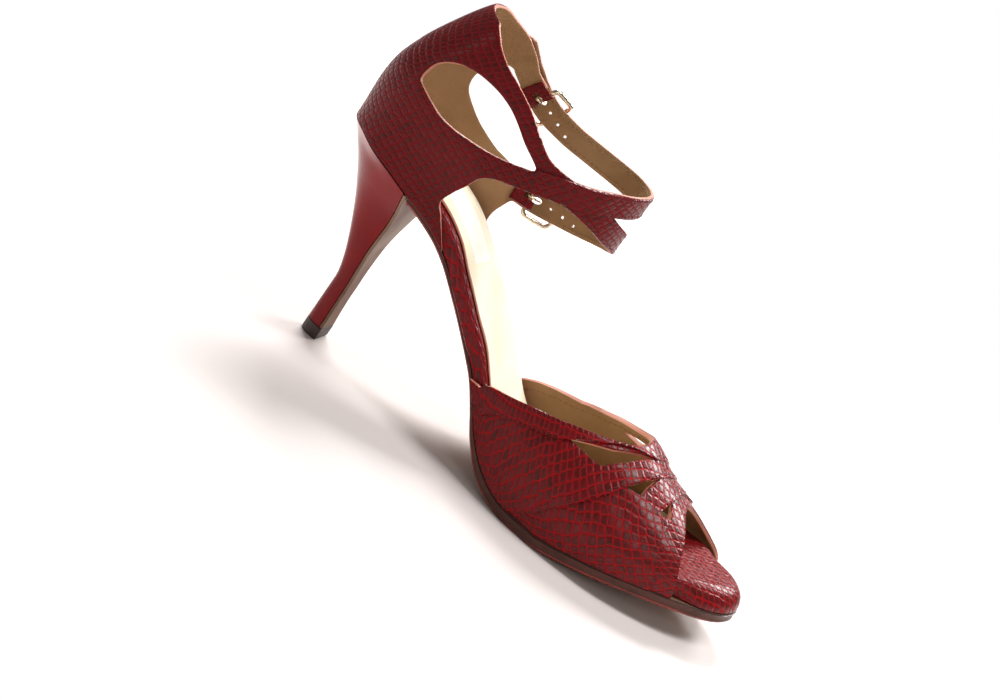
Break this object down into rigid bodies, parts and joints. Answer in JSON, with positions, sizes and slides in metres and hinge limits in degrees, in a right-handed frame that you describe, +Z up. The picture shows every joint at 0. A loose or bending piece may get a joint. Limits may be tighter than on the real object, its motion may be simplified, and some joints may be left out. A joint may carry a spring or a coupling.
{
  "type": "high heeled ankle strap sandal",
  "caption": "Open-toe high-heeled leather dance sandal with a banded vamp, closed heel cup with cut-outs and two buckled ankle straps.",
  "frame": {"origin": "on the ground under the middle of the shoe's box", "axes": "+X toward the toe, +Y toward the outer side of the foot, +Z up"},
  "size_m": [0.2146, 0.0772, 0.1372],
  "materials": {
    "red_leather": "embossed snake scales, semi-gloss",
    "lining_leather": "smooth matte",
    "sole_leather": "stained, satin",
    "heel_lacquer": "glossy lacquer",
    "top_lift_rubber": "matte",
    "buckle_metal": "polished pale metal"
  },
  "bodies": {
    "root": {"outsole": "sole_leather", "heel_breast_cover": "sole_leather", "heel": "heel_lacquer", "top_lift": "top_lift_rubber", "insole": "red_leather", "sock_lining": "lining_leather", "vamp": "red_leather", "quarter": "red_leather", "tab_upper": "red_leather", "tab_lower": "red_leather", "buckle_upper": "buckle_metal", "buckle_lower": "buckle_metal", "prong_upper": "buckle_metal", "prong_lower": "buckle_metal"}
  },
  "joints": []
}
